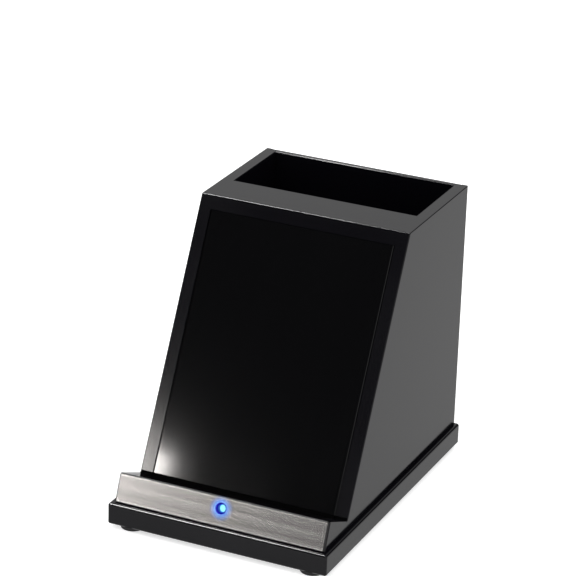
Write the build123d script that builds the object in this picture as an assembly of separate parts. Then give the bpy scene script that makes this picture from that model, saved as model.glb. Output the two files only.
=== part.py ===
from build123d import *
from math import atan2, cos, hypot, pi, radians, sin, tan
import os

# A desk stand of lacquered boards: a pen well behind, and in front a sloped back rest with a
# ledge, where a phone leans and charges. Millimetres, X to the right, Y to the back, Z up.
# The origin is under the middle of the base board, at the level of the feet.

# Base board
base_width = 95.0
base_depth = 136.5
base_thick = 9.0
base_top_radius = 1.0
base_corner_radius = 0.8
base_foot_chamfer = 0.5

# Body on the base board: its distance from each edge, and its height
side_overhang = 2.0
front_overhang = 1.6
back_overhang = 0.9
body_height = 107.0

# Boards of the body
side_thick = 5.3
outer_edge_radius = 0.4
mouth_chamfer = 0.3
wall_thick = 5.3
rail_thick = 5.3
rail_depth = 18.9
back_thick = 2.3
rebate_depth = 2.6
dado_depth = 1.5
joint_clearance = 0.1

# Phone seat, measured from the body's front edge and up from the base board
lip_setback = 4.5
lip_height = 11.45
groove_setback = 22.2
groove_height = 3.8
groove_radius = 1.0
seat_top_setback = 73.0

# Metal trim on the lip
trim_thick = 1.0
trim_end_gap = 0.3
trim_foot_gap = 0.2
trim_corner_radius = 0.8
trim_edge_radius = 0.35

# Charging panel, one moulding for lip, ledge and back rest
panel_thick = 2.4
panel_seam = 0.35
panel_edge_radius = 0.3
panel_top_gap = 0.2
skirt_thick = 2.0
skirt_depth = 5.0

# Charging coils and their ferrites
coil_inner_radius = 10.0
coil_thick = 2.0
coil_edge_radius = 0.6
coil_panel_gap = 0.2
coil_gap = 2.5
ferrite_margin = 0.75
ferrite_thick = 0.8
ferrite_fit = 0.2
core_ring_gap = 0.5
core_ring_wall = 1.2
core_ring_height = 1.4

# Coil tray
tray_side_gap = 1.2
tray_coil_share = 0.6875
tray_end_margin = 4.55
tray_thick = 2.2
tray_margin = 2.0
tray_corner_radius = 3.0
tray_rib_thick = 1.2
tray_rib_depth = 2.5
tray_rib_inset = 0.5
tray_rib_end = 9.0
lead_slot_width = 4.0
lead_slot_inset = 3.9

# Cleats behind the panel's skirts
cleat_width = 7.0
cleat_wall_gap = 1.24

# Main circuit board, behind the tray
board_slot_gap = 3.1
board_length = 40.0
board_thick = 1.2
board_corner_radius = 1.5
board_standoff = 3.0
board_margin = 3.0
board_hole_inset = 3.5
standoff_radius = 2.2
standoff_root = 0.5

# Parts on the main board
controller_side = 7.0
controller_thick = 0.9
driver_width = 5.0
driver_length = 4.0
driver_thick = 1.5
driver_place_share = 0.36
driver_edge_gap = 5.5
capacitor_width = 3.2
capacitor_length = 2.5
capacitor_thick = 2.0
capacitor_pitch = 4.4
capacitor_inset = 6.5
capacitor_count = 5
inductor_side = 7.0
inductor_thick = 4.0
inductor_corner_cut = 1.2
inductor_inset = 7.0
header_width = 6.0
header_length = 4.5
header_thick = 4.0
header_edge_gap = 1.5
led_header_shift = 7.0

# Screws: shank, head, cross drive and how deep they bite
small_screw_radius = 1.0
small_head_radius = 1.9
small_head_thick = 1.3
drive_width = 0.5
drive_reach = 1.1
drive_depth = 0.7
screw_fit = 0.08
screw_end_gap = 0.4
boss_wall = 1.3
tray_screw_length = 4.8
tray_screw_inset = 4.0
board_screw_length = 4.4
cleat_screw_radius = 1.3
cleat_head_radius = 2.5
cleat_head_thick = 1.7
cleat_screw_end = 1.0
cleat_screw_margin = 18.0

# Status lamp in the lip
led_top_gap = 0.5
led_radius = 1.5
led_barrel = 1.8
led_flange_radius = 1.8
led_flange_thick = 0.8
led_tip_depth = 1.0
led_bore_clearance = 0.1
led_trim_radius = 2.3
led_boss_radius = 3.0
led_board_width = 12.0
led_board_height = 3.2
led_board_thick = 0.8

# Pen well
pad_thick = 1.5
pad_margin = 0.5

# Feet
foot_radius = 5.0
foot_height = 2.0
foot_side_inset = 8.3
foot_end_inset = 6.0
foot_edge_radius = 0.5

# Glue blocks and base screws
block_width = 12.0
block_length = 28.0
block_height = 12.0
block_screw_inset = 7.0
base_screw_radius = 1.5
base_head_radius = 3.0
base_head_depth = 1.7
base_screw_length = 17.0
base_screw_clearance = 0.25

# Dowels between base board and side boards
dowel_radius = 1.25
dowel_in_base = 5.0
dowel_in_side = 7.0
dowel_end_gap = 0.5
dowel_front_inset = 34.0
dowel_back_inset = 20.0
dowel_count = 3

# Bottom cover, and the openings and pockets that it closes
cover_screw_gap = 7.2
cover_thick = 1.6
cover_front_inset = 11.7
cover_post_margin = 0.3
cover_gap = 0.25
cover_corner_radius = 3.0
cover_screw_inset = 3.2
cover_screw_length = 5.5
access_side_inset = 6.0
access_front_inset = 4.0
access_back_inset = 4.7
access_corner_radius = 3.0
channel_width = 7.0
channel_depth = 4.2

# Power inlet at the back of the base board
inlet_rise = 4.4
usb_width = 8.94
usb_height = 3.26
usb_depth = 7.35
usb_wall = 0.35
usb_recess = 0.2
usb_gap = 0.25
tongue_width = 6.4
tongue_thick = 0.7
tongue_length = 5.0
tongue_root = 1.4
usb_board_width = 14.0
usb_board_length = 14.0
usb_board_thick = 1.0
usb_pocket_gap = 0.3
usb_slide = 3.2
back_web = 3.0
bezel_width = 13.2
bezel_height = 5.8
bezel_thick = 1.2
bezel_gap = 0.1
clamp_post_radius = 1.0
clamp_post_inset = 1.1
clamp_post_reach = 7.0
clamp_gap = 0.1
stop_rib_thick = 1.2
stop_rib_width = 2.6
usb_header_width = 5.0
usb_header_length = 4.0
usb_header_thick = 3.0

# Leads
power_lead_diameter = 1.8
power_lead_run = 12.0
power_lead_clear = 8.0
led_lead_diameter = 1.2
led_lead_run = 4.0
led_lead_drop = 0.6
led_lead_inset = 1.0
led_lead_lift = 0.35
led_groove_width = 2.4
led_groove_depth = 1.6
led_groove_ahead = 3.6
led_groove_start = 9.0
led_groove_behind = 6.5
coil_lead_diameter = 1.0
coil_lead_spread = 3.0
coil_lead_pitch = 1.4
coil_lead_bend_gap = 0.6
bend_share = 0.45

# One length by which cuts run past the faces that they open
overrun = 1.0

# Levels and faces that the sizes give
base_bottom = foot_height
base_top = base_bottom + base_thick
body_top = base_top + body_height
base_back_y = base_depth / 2
front_y = front_overhang - base_depth / 2
back_y = base_back_y - back_overhang
body_half = base_width / 2 - side_overhang
inner_half = body_half - side_thick
rail_under = body_top - rail_thick
well_front_y = front_y + seat_top_setback + rail_depth
well_back_y = back_y - back_thick
wall_front_y = well_front_y - wall_thick

lip_y = front_y + lip_setback
lip_z = base_top + lip_height
lip_length = hypot(lip_setback, lip_height)
lip_angle = atan2(lip_height, lip_setback)
groove_y = front_y + groove_setback
groove_z = base_top + groove_height
ledge_fall = atan2(lip_height - groove_height, groove_setback - lip_setback)
seat_angle = atan2(body_height - groove_height, seat_top_setback - groove_setback)

# Distances up the back rest, from the groove, and behind its face. The coils are as large as the
# tray's width and the back rest's height allow.
panel_half = inner_half - panel_seam
panel_top = rail_under - panel_top_gap
seat_length = (panel_top - groove_z) / sin(seat_angle)
tray_half = inner_half - cleat_width - tray_side_gap
coil_outer_radius = min(tray_coil_share * tray_half, (seat_length - coil_gap) / 4 - tray_end_margin)
ferrite_half = coil_outer_radius + ferrite_margin
coil_pitch = 2 * coil_outer_radius + coil_gap
lower_coil_rise = (seat_length - coil_pitch) / 2
upper_coil_rise = lower_coil_rise + coil_pitch
skirt_back = panel_thick + skirt_depth
rest_top_y = groove_y + seat_length * cos(seat_angle)
cleat_back = (wall_front_y - rest_top_y) * sin(seat_angle) - cleat_wall_gap
cleat_screw_length = cleat_back - panel_thick - cleat_screw_end
tray_front = panel_thick + coil_panel_gap + coil_thick
tray_back = tray_front + tray_thick
tray_low = lower_coil_rise - coil_outer_radius - tray_margin
tray_high = upper_coil_rise + coil_outer_radius + tray_margin
board_front = tray_back + board_standoff
board_back = board_front + board_thick
board_rise = tray_low + board_margin
header_rise = header_edge_gap + header_length / 2
lead_slot_x = tray_half - lead_slot_inset
board_half = lead_slot_x - board_slot_gap
driver_x = driver_place_share * board_half

led_nose_depth = led_tip_depth + led_radius
led_seat_depth = led_nose_depth + led_barrel
led_board_depth = led_seat_depth + led_flange_thick
led_board_back = led_board_depth + led_board_thick
ledge_turn = ledge_fall + lip_angle - pi / 2
ledge_under = panel_thick / cos(ledge_turn) + led_board_back * tan(ledge_turn)
led_rise = lip_length - ledge_under - led_top_gap - led_board_height / 2
led_lead_x = led_header_shift - header_width / 2 + led_lead_inset

base_screw_x = inner_half - block_width / 2
cover_half = base_screw_x - base_head_radius - cover_screw_gap
access_half = cover_half - access_side_inset
cover_top = base_bottom + cover_thick
cover_front_y = groove_y + cover_front_inset
access_front_y = cover_front_y + access_front_inset
access_back_y = wall_front_y - access_back_inset
channel_top = cover_top + channel_depth
pocket_back_y = base_back_y - back_web
usb_board_back_y = pocket_back_y - usb_pocket_gap
usb_board_front_y = usb_board_back_y - usb_board_length
pocket_front_y = usb_board_front_y - usb_slide
clamp_post_y = usb_board_front_y + clamp_post_reach
cover_back_y = clamp_post_y + clamp_post_radius + cover_post_margin
inlet_z = base_bottom + inlet_rise
inlet_mouth_y = base_back_y - usb_recess
usb_board_under = inlet_z + usb_height / 2
usb_board_top = usb_board_under + usb_board_thick


def both_sides(x):
    return -x, x


# Places of what repeats
dowel_x = inner_half + side_thick / 2
dowel_pitch = (back_y - dowel_back_inset - front_y - dowel_front_inset) / (dowel_count - 1)
dowel_places = [
    (x, front_y + dowel_front_inset + step * dowel_pitch)
    for x in both_sides(dowel_x)
    for step in range(dowel_count)
]
base_screw_places = [
    (x, y)
    for x in both_sides(base_screw_x)
    for y in (wall_front_y - block_length + block_screw_inset, wall_front_y - block_screw_inset)
]
cover_screw_places = [
    (x, y)
    for x in both_sides(cover_half - cover_screw_inset)
    for y in (cover_front_y + cover_screw_inset, cover_back_y - cover_screw_inset)
]
tray_screw_places = [
    (x, rise)
    for x in both_sides(tray_half - tray_screw_inset)
    for rise in (tray_low + tray_screw_inset, tray_high - tray_screw_inset)
]
cleat_screw_x = inner_half - cleat_width + cleat_screw_radius + boss_wall
cleat_screw_places = [
    (x, rise)
    for x in both_sides(cleat_screw_x)
    for rise in (cleat_screw_margin, seat_length - cleat_screw_margin)
]
board_screw_places = [
    (x, rise)
    for x in both_sides(board_half - board_hole_inset)
    for rise in (board_rise + board_hole_inset, board_rise + board_length - board_hole_inset)
]
coil_lead_slots = [(lead_slot_x, lower_coil_rise), (-lead_slot_x, upper_coil_rise)]
foot_x = base_width / 2 - foot_side_inset
foot_y = base_depth / 2 - foot_end_inset
foot_places = {
    "front_left_foot": (-foot_x, -foot_y),
    "front_right_foot": (foot_x, -foot_y),
    "back_left_foot": (-foot_x, foot_y),
    "back_right_foot": (foot_x, foot_y),
}

on_end = Align.CENTER, Align.CENTER, Align.MIN


def block(x0, x1, y0, y1, z0, z1):
    return Pos(x0, y0, z0) * Box(x1 - x0, y1 - y0, z1 - z0, align=Align.MIN)


def upright_post(x, y, z0, z1, radius):
    return Pos(x, y, z0) * Cylinder(radius, z1 - z0, align=on_end)


def run_along_x(points, x0, x1):
    """A solid with an outline drawn in Y and Z, from x0 to x1."""
    outline = make_face(Polyline(*points, close=True))
    return extrude(Plane.YZ.offset(x0) * outline, amount=x1 - x0)


def leaning_place(y, z, angle):
    """A place on a face that leans back: X as the object's, Y up the face, Z out of it."""
    plane = Plane(origin=(0, y, z), x_dir=(1, 0, 0), z_dir=(0, -sin(angle), cos(angle)))
    return plane.location


# On the back rest a place is x, the rise from the groove, and minus the depth behind the face.
# On the lip it is x, the rise from the base board, and minus the depth behind the trim's face.
seat = leaning_place(groove_y, groove_z, seat_angle)
lip = leaning_place(front_y, base_top, lip_angle)


def seat_post(x, rise, depth0, depth1, radius):
    """A round post or hole square to the back rest, between two depths."""
    return seat * Pos(x, rise, -depth1) * Cylinder(radius, depth1 - depth0, align=on_end)


def seat_block(x0, x1, rise0, rise1, depth0, depth1):
    return seat * block(x0, x1, rise0, rise1, -depth1, -depth0)


def seat_point(x, rise, depth):
    return (seat * Pos(x, rise, -depth)).position


def lip_post(depth0, depth1, radius):
    """A round post or hole square to the lip, on the lamp's axis."""
    return lip * Pos(0, led_rise, -depth1) * Cylinder(radius, depth1 - depth0, align=on_end)


def seat_line_at(z):
    """The point of the back rest's face at a level, as Y and Z."""
    return groove_y + (z - groove_z) / tan(seat_angle), z


def offset_corner(corner, before, after, distance):
    """Where the two lines of a corner meet again when both move to their right."""
    turn0 = atan2(corner[1] - before[1], corner[0] - before[0])
    turn1 = atan2(after[1] - corner[1], after[0] - corner[0])
    reach = distance / cos((turn1 - turn0) / 2)
    middle = (turn0 + turn1) / 2
    return corner[0] + reach * sin(middle), corner[1] - reach * cos(middle)


def edge_across(solid, y, z):
    """The solid's edge along X that lies nearest to a point given as Y and Z."""
    edges = solid.edges().filter_by(Axis.X)
    return min(edges, key=lambda edge: hypot(edge.center().Y - y, edge.center().Z - z))


def seat_outline():
    """Foot and top of the lip behind its trim, and the groove, as Y and Z."""
    foot_point = front_y + trim_thick / sin(lip_angle), base_top
    along = trim_thick / sin(lip_angle + ledge_fall)
    top_point = lip_y + along * cos(ledge_fall), lip_z - along * sin(ledge_fall)
    return foot_point, top_point, (groove_y, groove_z)


# Base board: its pockets are routed from below, so that nothing of them shows from above


def inlet_shape(width, height, gap, y0, y1):
    """A flat-sided shape with round ends, along Y on the inlet's axis."""
    plane = Plane(origin=(0, y1, inlet_z), x_dir=(1, 0, 0), z_dir=(0, -1, 0))
    return extrude(plane * SlotOverall(width + 2 * gap, height + 2 * gap), amount=y1 - y0)


def countersink(x, y, head_radius, shank_radius, depth):
    return Pos(x, y, base_bottom) * Cone(head_radius, shank_radius, depth, align=on_end)


def routed(x_half, y0, y1, z1, radius):
    """A round-cornered recess, cut from below up to a level."""
    recess = block(-x_half, x_half, y0, y1, base_bottom - overrun, z1)
    return fillet(recess.edges().filter_by(Axis.Z), radius)


def base_board():
    half_width = base_width / 2
    half_depth = base_depth / 2
    board = block(-half_width, half_width, -half_depth, half_depth, base_bottom, base_top)
    board = fillet(board.edges().filter_by(Axis.Z), base_corner_radius)
    board = fillet(board.faces().sort_by(Axis.Z)[-1].edges(), base_top_radius)
    board = chamfer(board.faces().sort_by(Axis.Z)[0].edges(), base_foot_chamfer)

    rebate_front_y = cover_front_y - cover_gap
    rebate_back_y = cover_back_y + cover_gap
    rebate_radius = cover_corner_radius + cover_gap
    board -= routed(cover_half + cover_gap, rebate_front_y, rebate_back_y, cover_top, rebate_radius)
    access_top = base_top + overrun
    board -= routed(access_half, access_front_y, access_back_y, access_top, access_corner_radius)
    channel_half = channel_width / 2
    channel_front_y = access_back_y - overrun
    channel_back_y = pocket_front_y + overrun
    board -= block(-channel_half, channel_half, channel_front_y, channel_back_y, base_bottom, channel_top)
    pocket_half = usb_board_width / 2 + usb_pocket_gap
    pocket_low = cover_top - overrun
    board -= block(-pocket_half, pocket_half, pocket_front_y, pocket_back_y, pocket_low, usb_board_top)
    board -= inlet_shape(usb_width, usb_height, usb_gap, pocket_back_y - overrun, base_back_y)
    bezel_seat_y = base_back_y - bezel_thick
    board -= inlet_shape(bezel_width, bezel_height, bezel_gap, bezel_seat_y, base_back_y + overrun)

    groove_half = led_groove_width / 2
    groove_front_y = front_y + led_groove_start
    groove_under = base_top - led_groove_depth
    board -= block(
        led_lead_x - groove_half,
        led_lead_x + groove_half,
        groove_front_y,
        access_front_y + overrun,
        groove_under,
        base_top + overrun,
    )
    for x, y in dowel_places:
        hole_end = base_top - dowel_in_base - dowel_end_gap
        board -= upright_post(x, y, hole_end, base_top + overrun, dowel_radius)
    for x, y in base_screw_places:
        hole_radius = base_screw_radius + base_screw_clearance
        board -= upright_post(x, y, base_bottom - overrun, base_top + overrun, hole_radius)
        board -= countersink(x, y, base_head_radius, base_screw_radius, base_head_depth)
    for x, y in cover_screw_places:
        hole_end = base_bottom + cover_screw_length + screw_end_gap
        board -= upright_post(x, y, base_bottom, hole_end, small_screw_radius + screw_fit)
    return board


def foot(x, y):
    disc = upright_post(x, y, 0, foot_height, foot_radius)
    return fillet(disc.faces().sort_by(Axis.Z)[0].edges(), foot_edge_radius)


# Boards of the body: the side boards take the back panel in rebates and the wall in dadoes


def mouth_easing():
    """What the small chamfer round the pen well's mouth takes off the boards there."""
    middle_y = (well_front_y + well_back_y) / 2
    width = 2 * inner_half
    depth = well_back_y - well_front_y
    low = Pos(0, middle_y, body_top - mouth_chamfer) * Rectangle(width, depth)
    high = Pos(0, middle_y, body_top) * Rectangle(width + 2 * mouth_chamfer, depth + 2 * mouth_chamfer)
    return loft([low, high])


def side_panel(side):
    """One side board; side is -1 for the left and 1 for the right."""
    foot_point, top_point, groove_point = seat_outline()
    outline = [
        foot_point,
        top_point,
        groove_point,
        seat_line_at(body_top),
        (back_y, body_top),
        (back_y, base_top),
    ]
    board = run_along_x(outline, inner_half, body_half)
    board = fillet(edge_across(board, groove_y, groove_z), groove_radius)
    board = fillet(edge_across(board, *seat_line_at(body_top)), outer_edge_radius)
    board = fillet(board.faces().sort_by(Axis.X)[-1].edges(), outer_edge_radius)

    near = inner_half - overrun
    under = base_top - overrun
    rebate_x = inner_half + rebate_depth
    board -= block(near, rebate_x, well_back_y, back_y + overrun, under, body_top + overrun)
    board -= block(near, inner_half + dado_depth, wall_front_y, well_front_y, under, rail_under)
    board -= mouth_easing()
    for x, y in dowel_places:
        if x > 0:
            hole_end = base_top + dowel_in_side + dowel_end_gap
            board -= upright_post(x, y, under, hole_end, dowel_radius)
    if side < 0:
        board = mirror(board, about=Plane.YZ)
    return board


def back_panel():
    half = inner_half + rebate_depth - joint_clearance
    board = block(-half, half, well_back_y, back_y, base_top, body_top)
    return fillet(edge_across(board, back_y, body_top), outer_edge_radius) - mouth_easing()


def well_front_wall():
    half = inner_half + dado_depth - joint_clearance
    return block(-half, half, wall_front_y, well_front_y, base_top, rail_under)


def top_rail():
    outline = [
        seat_line_at(rail_under),
        seat_line_at(body_top),
        (well_front_y, body_top),
        (well_front_y, rail_under),
    ]
    rail = run_along_x(outline, -inner_half, inner_half)
    return fillet(edge_across(rail, *seat_line_at(body_top)), outer_edge_radius) - mouth_easing()


def well_floor_pad():
    half = inner_half - pad_margin
    pad_front_y = well_front_y + pad_margin
    pad_back_y = well_back_y - pad_margin
    return block(-half, half, pad_front_y, pad_back_y, base_top, base_top + pad_thick)


def glue_block(side):
    ends = side * inner_half, side * (inner_half - block_width)
    block_front_y = wall_front_y - block_length
    block_top = base_top + block_height
    solid = block(min(ends), max(ends), block_front_y, wall_front_y, base_top, block_top)
    hole_end = base_bottom + base_screw_length + screw_end_gap
    for x, y in base_screw_places:
        solid -= upright_post(x, y, base_top - overrun, hole_end, base_screw_radius + screw_fit)
    return solid


# Charging panel: one wall along lip, ledge and back rest, with skirts, posts and rings behind


def panel_wall(depth, x0, x1):
    """What lies between the panel's face and a depth behind it, from the base board to the rail."""
    foot_point, top_point, groove_point = seat_outline()
    low = foot_point[0] - depth / tan(lip_angle), foot_point[1] - depth
    high = seat_line_at(body_top + depth)
    outline = [
        low,
        top_point,
        groove_point,
        high,
        (high[0] + depth * sin(seat_angle), high[1] - depth * cos(seat_angle)),
        offset_corner(groove_point, top_point, high, depth),
        offset_corner(top_point, foot_point, groove_point, depth),
        (low[0] + depth * sin(lip_angle), low[1] - depth * cos(lip_angle)),
    ]
    return run_along_x(outline, x0, x1) & block(x0, x1, front_y, back_y, base_top, panel_top)


def on_panel_face(edge):
    """True for an edge on the ledge's face or the back rest's, and not on the wall's other faces."""
    middle = edge.center()
    on_rest = seat.inverse() * Pos(middle)
    ledge_z = lip_z - (middle.Y - lip_y) * tan(ledge_fall)
    near = panel_edge_radius
    return abs(on_rest.position.Z) < near or (abs(middle.Z - ledge_z) < near and middle.Y < groove_y)


def charging_panel():
    panel = panel_wall(panel_thick, -panel_half, panel_half)
    panel = fillet(edge_across(panel, groove_y, groove_z), groove_radius)
    ends = [edge for edge in panel.edges() if abs(edge.center().X) > panel_half - panel_edge_radius]
    panel = fillet([edge for edge in ends if on_panel_face(edge)], panel_edge_radius)

    root = panel_thick - panel_edge_radius
    for side in both_sides(1):
        skirt_ends = side * panel_half, side * (panel_half - skirt_thick)
        x0 = min(skirt_ends)
        x1 = max(skirt_ends)
        panel += panel_wall(skirt_back, x0, x1) - panel_wall(root, x0, x1)
    for x, rise in tray_screw_places:
        panel += seat_post(x, rise, root, tray_front, small_screw_radius + boss_wall)
    for x, rise in cleat_screw_places:
        panel += seat_post(x, rise, root, skirt_back, cleat_screw_radius + boss_wall)
    ring_radius = coil_inner_radius - core_ring_gap
    ring_back = panel_thick + core_ring_height
    for rise in (lower_coil_rise, upper_coil_rise):
        ring = seat_post(0, rise, root, ring_back, ring_radius)
        bore = seat_post(0, rise, panel_thick, ring_back + overrun, ring_radius - core_ring_wall)
        panel += ring - bore
    panel += lip_post(trim_thick + root, led_seat_depth, led_boss_radius)
    panel -= lip_post(0, led_seat_depth + overrun, led_radius + led_bore_clearance)

    for x, rise in tray_screw_places:
        hole_end = tray_back - tray_screw_length - screw_end_gap
        panel -= seat_post(x, rise, hole_end, tray_back, small_screw_radius + screw_fit)
    for x, rise in cleat_screw_places:
        hole_end = cleat_back - cleat_screw_length - screw_end_gap
        panel -= seat_post(x, rise, hole_end, cleat_back, cleat_screw_radius + screw_fit)
    return panel


def cleat(side):
    """A batten glued to a side board, which the panel's skirt seats on and is screwed to."""
    ends = side * inner_half, side * (inner_half - cleat_width)
    x0 = min(ends)
    x1 = max(ends)
    batten = panel_wall(cleat_back, x0, x1) - panel_wall(skirt_back, x0, x1)
    batten &= block(x0, x1, groove_y, back_y, base_top, panel_top)
    for x, rise in cleat_screw_places:
        hole_radius = cleat_screw_radius + screw_fit
        batten -= seat_post(x, rise, skirt_back - overrun, cleat_back + overrun, hole_radius)
    return batten


# Metal trim and the status lamp behind it


def lip_trim():
    """A flat strip glued to the lip, square to it, with a hole for the lamp."""
    foot_rise = (trim_foot_gap + trim_thick * cos(lip_angle)) / sin(lip_angle)
    half = body_half - trim_end_gap
    plate = block(-half, half, foot_rise, lip_length, -trim_thick, 0)
    plate = fillet(plate.edges().filter_by(Axis.Z).group_by(Axis.Y)[-1], trim_corner_radius)
    plate = fillet(plate.faces().sort_by(Axis.Z)[-1].edges(), trim_edge_radius)
    return lip * plate - lip_post(-overrun, trim_thick + overrun, led_trim_radius)


def indicator_led():
    """A round-nosed lamp with a flange, which seats behind the panel's bore."""
    flange = lip_post(led_seat_depth, led_board_depth, led_flange_radius)
    barrel = lip_post(led_nose_depth, led_seat_depth, led_radius)
    nose = lip * Pos(0, led_rise, -led_nose_depth) * Sphere(led_radius, arc_size1=0)
    return flange + barrel + nose


def led_board():
    half = led_board_width / 2
    low = led_rise - led_board_height / 2
    return lip * block(-half, half, low, low + led_board_height, -led_board_back, -led_board_depth)


# Coils, ferrites and the tray that holds them against the panel


def coil(rise):
    """A flat wound coil on its ferrite, with rounded edges."""
    disc = seat_post(0, rise, panel_thick + coil_panel_gap, tray_front, coil_outer_radius)
    disc -= seat_post(0, rise, panel_thick, tray_back, coil_inner_radius)
    return fillet(disc.edges().filter_by(GeomType.CIRCLE), coil_edge_radius)


def ferrite(rise):
    half = ferrite_half
    return seat_block(-half, half, rise - half, rise + half, tray_front, tray_front + ferrite_thick)


def coil_tray():
    plate = block(-tray_half, tray_half, tray_low, tray_high, -tray_back, -tray_front)
    plate = fillet(plate.edges().filter_by(Axis.Z), tray_corner_radius)
    rib_root = -tray_back + tray_thick / 2
    for side in both_sides(1):
        ends = side * (tray_half - tray_rib_inset), side * (tray_half - tray_rib_inset - tray_rib_thick)
        rib_low = tray_low + tray_rib_end
        rib_high = tray_high - tray_rib_end
        plate += block(min(ends), max(ends), rib_low, rib_high, -tray_back - tray_rib_depth, rib_root)
    tray = seat * plate
    half = ferrite_half + ferrite_fit
    pocket_back = tray_front + ferrite_thick
    for rise in (lower_coil_rise, upper_coil_rise):
        tray -= seat_block(-half, half, rise - half, rise + half, panel_thick, pocket_back)
    for x, rise in board_screw_places:
        tray += seat_post(x, rise, tray_back - standoff_root, board_front, standoff_radius)
        hole_end = board_back - board_screw_length - screw_end_gap
        tray -= seat_post(x, rise, hole_end, board_front + overrun, small_screw_radius + screw_fit)
    for x, rise in tray_screw_places:
        tray -= seat_post(x, rise, panel_thick, board_front, small_screw_radius + screw_fit)
    for x, rise in coil_lead_slots:
        slot_half = lead_slot_width / 2
        reach = coil_lead_spread + slot_half
        tray -= seat_block(x - slot_half, x + slot_half, rise - reach, rise + reach, panel_thick, board_front)
    return tray


# Main board and what is soldered to its back


def main_board():
    plate = block(-board_half, board_half, board_rise, board_rise + board_length, -board_back, -board_front)
    board = seat * fillet(plate.edges().filter_by(Axis.Z), board_corner_radius)
    for x, rise in board_screw_places:
        hole_radius = small_screw_radius + screw_fit
        board -= seat_post(x, rise, board_front - overrun, board_back + overrun, hole_radius)
    return board


def on_board(x, y, width, length, thick):
    """A part on the board's back; y is the distance of its middle from the board's lower edge."""
    low = board_rise + y - length / 2
    return seat_block(x - width / 2, x + width / 2, low, low + length, board_back, board_back + thick)


def controller_chip():
    return on_board(0, board_length / 2, controller_side, controller_side, controller_thick)


def driver_chips():
    y = board_length - driver_edge_gap
    return [on_board(x, y, driver_width, driver_length, driver_thick) for x in both_sides(driver_x)]


def tank_capacitors():
    x = capacitor_inset - board_half
    first = (board_length - (capacitor_count - 1) * capacitor_pitch) / 2
    return [
        on_board(x, first + step * capacitor_pitch, capacitor_width, capacitor_length, capacitor_thick)
        for step in range(capacitor_count)
    ]


def filter_inductor():
    x = board_half - inductor_inset
    body = on_board(x, board_length / 2, inductor_side, inductor_side, inductor_thick)
    outward = Vector(0, -sin(seat_angle), cos(seat_angle))
    corners = [edge for edge in body.edges() if abs(edge.tangent_at(0).dot(outward)) > cos(pi / 8)]
    return chamfer(corners, inductor_corner_cut)


def lead_headers():
    """The plug housings for the power lead and the lamp's lead, at the board's lower edge."""
    return [
        on_board(x, header_rise, header_width, header_length, header_thick) for x in (0, led_header_shift)
    ]


# Power inlet: a socket under a small board, which slides back into its slot from below


def usb_board():
    half = usb_board_width / 2
    return block(-half, half, usb_board_front_y, usb_board_back_y, usb_board_under, usb_board_top)


def usb_socket():
    root_y = inlet_mouth_y - usb_depth
    shell = inlet_shape(usb_width, usb_height, 0, root_y, inlet_mouth_y)
    return shell - inlet_shape(usb_width, usb_height, -usb_wall, root_y, inlet_mouth_y)


def usb_tongue():
    root_y = inlet_mouth_y - usb_depth
    face_y = root_y + tongue_root
    plug = inlet_shape(usb_width, usb_height, -usb_wall, root_y, face_y)
    half = tongue_width / 2
    low = inlet_z - tongue_thick / 2
    return plug + block(-half, half, root_y, face_y + tongue_length, low, low + tongue_thick)


def usb_lead_header():
    half = usb_header_width / 2
    low = usb_board_under - usb_header_thick
    far_y = usb_board_front_y + usb_header_length
    return block(-half, half, usb_board_front_y, far_y, low, usb_board_under)


def inlet_bezel():
    inner_y = base_back_y - bezel_thick
    ring = inlet_shape(bezel_width, bezel_height, 0, inner_y, base_back_y)
    return ring - inlet_shape(usb_width, usb_height, usb_gap, inner_y, base_back_y)


def bottom_cover():
    """A flush plate; its posts hold the inlet's board up, and its ribs stop it from sliding."""
    plate = block(-cover_half, cover_half, cover_front_y, cover_back_y, base_bottom, cover_top)
    cover = fillet(plate.edges().filter_by(Axis.Z), cover_corner_radius)
    held_half = usb_board_width / 2
    for x in both_sides(held_half - clamp_post_inset):
        cover += upright_post(x, clamp_post_y, base_bottom, usb_board_under - clamp_gap, clamp_post_radius)
    rib_back_y = usb_board_front_y - clamp_gap
    rib_top = usb_board_top - clamp_gap
    for side in both_sides(1):
        ends = side * held_half, side * (held_half - stop_rib_width)
        rib_front_y = rib_back_y - stop_rib_thick
        cover += block(min(ends), max(ends), rib_front_y, rib_back_y, base_bottom, rib_top)
    for x, y in cover_screw_places:
        hole_radius = small_screw_radius + screw_fit
        cover -= upright_post(x, y, base_bottom - overrun, cover_top + overrun, hole_radius)
        cover -= countersink(x, y, small_head_radius, small_screw_radius, small_head_thick)
    return cover


# Fasteners, one group for each kind


def cross_drive():
    arm = Box(drive_reach * 2, drive_width, drive_depth, align=on_end)
    return arm + Rot(0, 0, 90) * arm


def flush_screws(places, length, radius, head_radius, head_depth):
    """Countersunk screws, driven up from the underside."""
    shank = Cylinder(radius, length, align=on_end)
    head = Cone(head_radius - screw_fit, radius, head_depth, align=on_end)
    screw = shank + head - cross_drive()
    return [Pos(x, y, base_bottom) * screw for x, y in places]


def pan_screws(places, head_depth, length, radius, head_radius, head_thick):
    """Screws square to the back rest, driven from behind, with their heads on a face at a depth."""
    head = Cylinder(head_radius, head_thick, align=on_end)
    head = fillet(head.faces().sort_by(Axis.Z)[0].edges(), head_thick / 2)
    screw = head + Cylinder(radius, head_thick + length, align=on_end) - cross_drive()
    return [seat * Pos(x, rise, -head_depth - head_thick) * screw for x, rise in places]


def dowels():
    low = base_top - dowel_in_base
    high = base_top + dowel_in_side
    return [upright_post(x, y, low, high, dowel_radius - screw_fit) for x, y in dowel_places]


# Leads: straight runs joined by arcs as large as the runs allow


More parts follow.
